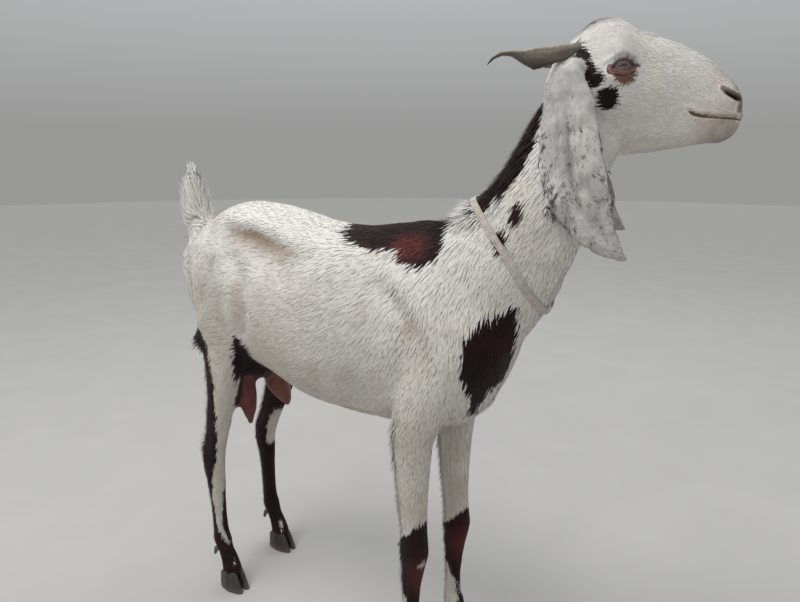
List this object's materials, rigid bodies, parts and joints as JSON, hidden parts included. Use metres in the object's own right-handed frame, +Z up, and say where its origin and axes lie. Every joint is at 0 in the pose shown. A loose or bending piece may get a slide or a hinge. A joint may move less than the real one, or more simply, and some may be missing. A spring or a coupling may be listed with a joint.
{
  "type": "goat",
  "caption": "Standing long-eared doe goat, white with dark patches, head raised, tail up, horns swept back, wearing a plain tape collar.",
  "frame": {"origin": "on the floor, under the middle of the whole animal's box", "axes": "+X towards the nose, +Y towards the animal's left side, +Z up; the soles stand on Z = 0"},
  "size_m": [0.9878, 0.2576, 1.0704],
  "materials": {
    "white_coat": "short flat hair, matt",
    "brown_coat": "short thin hair, matt",
    "bare_skin": "bare, satin",
    "horn": "horn sheath, satin",
    "hoof": "hoof horn, dull",
    "eye": "wet, glossy",
    "tape": "flat woven tape, worn"
  },
  "bodies": {
    "root": {"head": "white_coat", "neck": "white_coat", "trunk": "white_coat", "tail": "white_coat", "foreleg_right": "white_coat", "foreleg_left": "white_coat", "hindleg_right": "white_coat", "hindleg_left": "white_coat", "ear_right": "white_coat", "ear_left": "white_coat", "udder": "brown_coat", "teat_right": "bare_skin", "teat_left": "bare_skin", "horn_right": "horn", "horn_left": "horn", "eye_right": "eye", "eye_left": "eye", "collar": "tape", "claw_fore_right_inner": "hoof", "dewclaw_fore_right_inner": "hoof", "claw_fore_right_outer": "hoof", "dewclaw_fore_right_outer": "hoof", "claw_fore_left_inner": "hoof", "dewclaw_fore_left_inner": "hoof", "claw_fore_left_outer": "hoof", "dewclaw_fore_left_outer": "hoof", "claw_hind_right_inner": "hoof", "dewclaw_hind_right_inner": "hoof", "claw_hind_right_outer": "hoof", "dewclaw_hind_right_outer": "hoof", "claw_hind_left_inner": "hoof", "dewclaw_hind_left_inner": "hoof", "claw_hind_left_outer": "hoof", "dewclaw_hind_left_outer": "hoof"}
  },
  "joints": []
}
